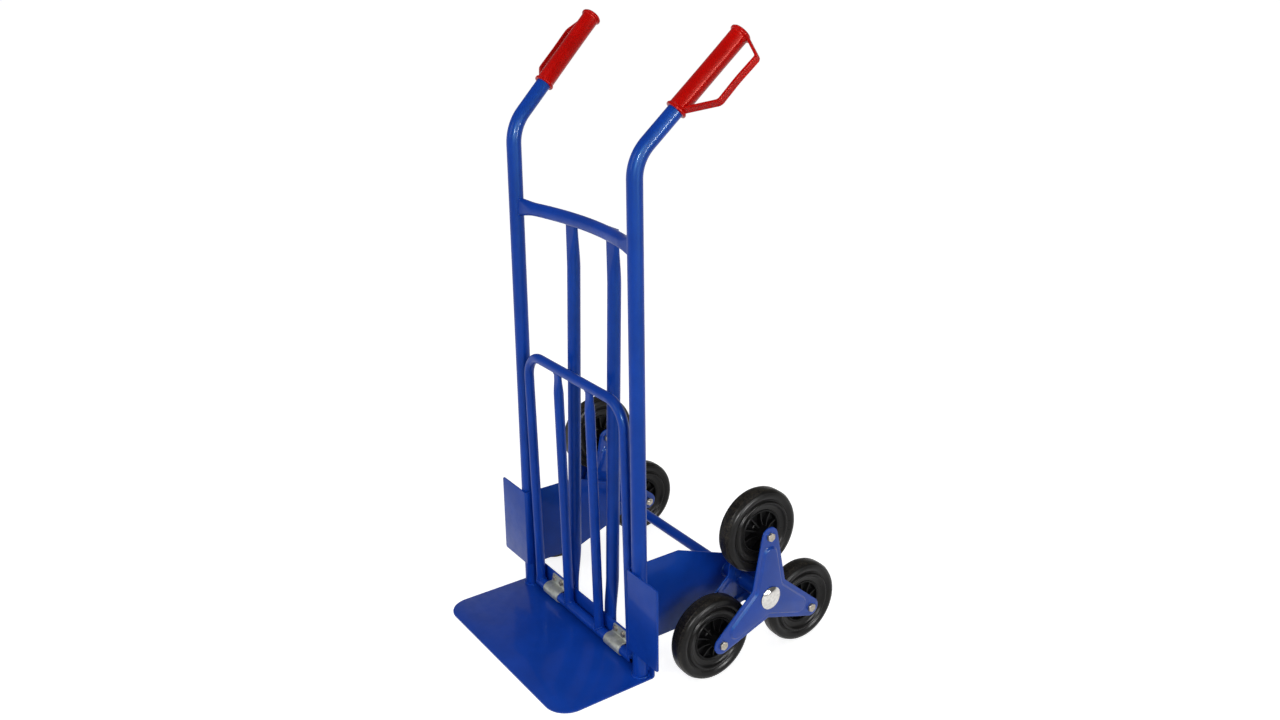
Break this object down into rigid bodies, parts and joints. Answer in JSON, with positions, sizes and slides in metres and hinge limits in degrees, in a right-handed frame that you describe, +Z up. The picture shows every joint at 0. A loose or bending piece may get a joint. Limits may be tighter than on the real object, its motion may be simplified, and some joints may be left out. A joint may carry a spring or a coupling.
{
  "type": "stair-climbing hand truck",
  "caption": "Tubular steel hand truck with a toe plate, a load frame that folds down over it, loop-guard grips and three-wheeled stars for stairs.",
  "frame": {"origin": "on the floor, below the middle of the bounding box, with the truck standing upright on its toe plate and four wheels", "axes": "+Z up, -Y to the front where the toe plate reaches out, +Y to the operator behind, +X to the operator's left"},
  "size_m": [0.6426, 0.587, 1.1636],
  "materials": {
    "blue_paint": "glossy powder coat over bent steel tube and sheet",
    "grip_plastic": "moulded, half gloss",
    "galvanised": "zinc plated sheet, satin",
    "plated_steel": "zinc plated fasteners",
    "chrome": "polished cap",
    "tyre": "solid black rubber, satin",
    "rim_plastic": "black moulded plastic, half matt"
  },
  "bodies": {
    "frame": {"left_rail": "blue_paint", "right_rail": "blue_paint", "crossbar": "blue_paint", "left_slat": "blue_paint", "right_slat": "blue_paint", "toe_plate": "blue_paint", "left_side_plate": "blue_paint", "right_side_plate": "blue_paint", "axle": "blue_paint", "left_axle_spacer": "blue_paint", "right_axle_spacer": "blue_paint", "axle_washers": "plated_steel", "left_hub_cap": "chrome", "right_hub_cap": "chrome", "left_grip": "grip_plastic", "right_grip": "grip_plastic", "left_hinge_strap": "galvanised", "right_hinge_strap": "galvanised", "hinge_bolts": "plated_steel", "hinge_nuts": "plated_steel"},
    "load_frame": {"hinge_tube": "blue_paint", "fold_hoop": "blue_paint", "left_fold_bar": "blue_paint", "right_fold_bar": "blue_paint"},
    "left_star": {"left_outer_star_plate": "blue_paint", "left_inner_star_plate": "blue_paint", "left_hub_tube": "blue_paint", "left_wheel_bolts": "plated_steel", "left_wheel_nuts": "plated_steel", "left_wheel_tubes": "plated_steel"},
    "left_top_wheel": {"left_top_tyre": "tyre", "left_top_rim": "rim_plastic"},
    "left_front_wheel": {"left_front_tyre": "tyre", "left_front_rim": "rim_plastic"},
    "left_rear_wheel": {"left_rear_tyre": "tyre", "left_rear_rim": "rim_plastic"},
    "right_star": {"right_outer_star_plate": "blue_paint", "right_inner_star_plate": "blue_paint", "right_hub_tube": "blue_paint", "right_wheel_bolts": "plated_steel", "right_wheel_nuts": "plated_steel", "right_wheel_tubes": "plated_steel"},
    "right_top_wheel": {"right_top_tyre": "tyre", "right_top_rim": "rim_plastic"},
    "right_front_wheel": {"right_front_tyre": "tyre", "right_front_rim": "rim_plastic"},
    "right_rear_wheel": {"right_rear_tyre": "tyre", "right_rear_rim": "rim_plastic"}
  },
  "joints": [
    {"name": "load_frame_fold", "type": "hinge", "parent": "frame", "child": "load_frame", "pos_m": [0, -0.10254, 0.02], "axis": [1, 0, 0], "range_deg": [-2, 89]},
    {"name": "left_star_spin", "type": "hinge", "parent": "frame", "child": "left_star", "pos_m": [0.2705, 0.10746, 0.14125], "axis": [1, 0, 0], "continuous": true},
    {"name": "left_top_wheel_spin", "type": "hinge", "parent": "left_star", "child": "left_top_wheel", "pos_m": [0.2705, 0.10746, 0.26375], "axis": [1, 0, 0], "continuous": true},
    {"name": "left_front_wheel_spin", "type": "hinge", "parent": "left_star", "child": "left_front_wheel", "pos_m": [0.2705, 0.00137, 0.08], "axis": [1, 0, 0], "continuous": true},
    {"name": "left_rear_wheel_spin", "type": "hinge", "parent": "left_star", "child": "left_rear_wheel", "pos_m": [0.2705, 0.21354, 0.08], "axis": [1, 0, 0], "continuous": true},
    {"name": "right_star_spin", "type": "hinge", "parent": "frame", "child": "right_star", "pos_m": [-0.2705, 0.10746, 0.14125], "axis": [1, 0, 0], "continuous": true},
    {"name": "right_top_wheel_spin", "type": "hinge", "parent": "right_star", "child": "right_top_wheel", "pos_m": [-0.2705, 0.10746, 0.26375], "axis": [1, 0, 0], "continuous": true},
    {"name": "right_front_wheel_spin", "type": "hinge", "parent": "right_star", "child": "right_front_wheel", "pos_m": [-0.2705, 0.00137, 0.08], "axis": [1, 0, 0], "continuous": true},
    {"name": "right_rear_wheel_spin", "type": "hinge", "parent": "right_star", "child": "right_rear_wheel", "pos_m": [-0.2705, 0.21354, 0.08], "axis": [1, 0, 0], "continuous": true}
  ]
}
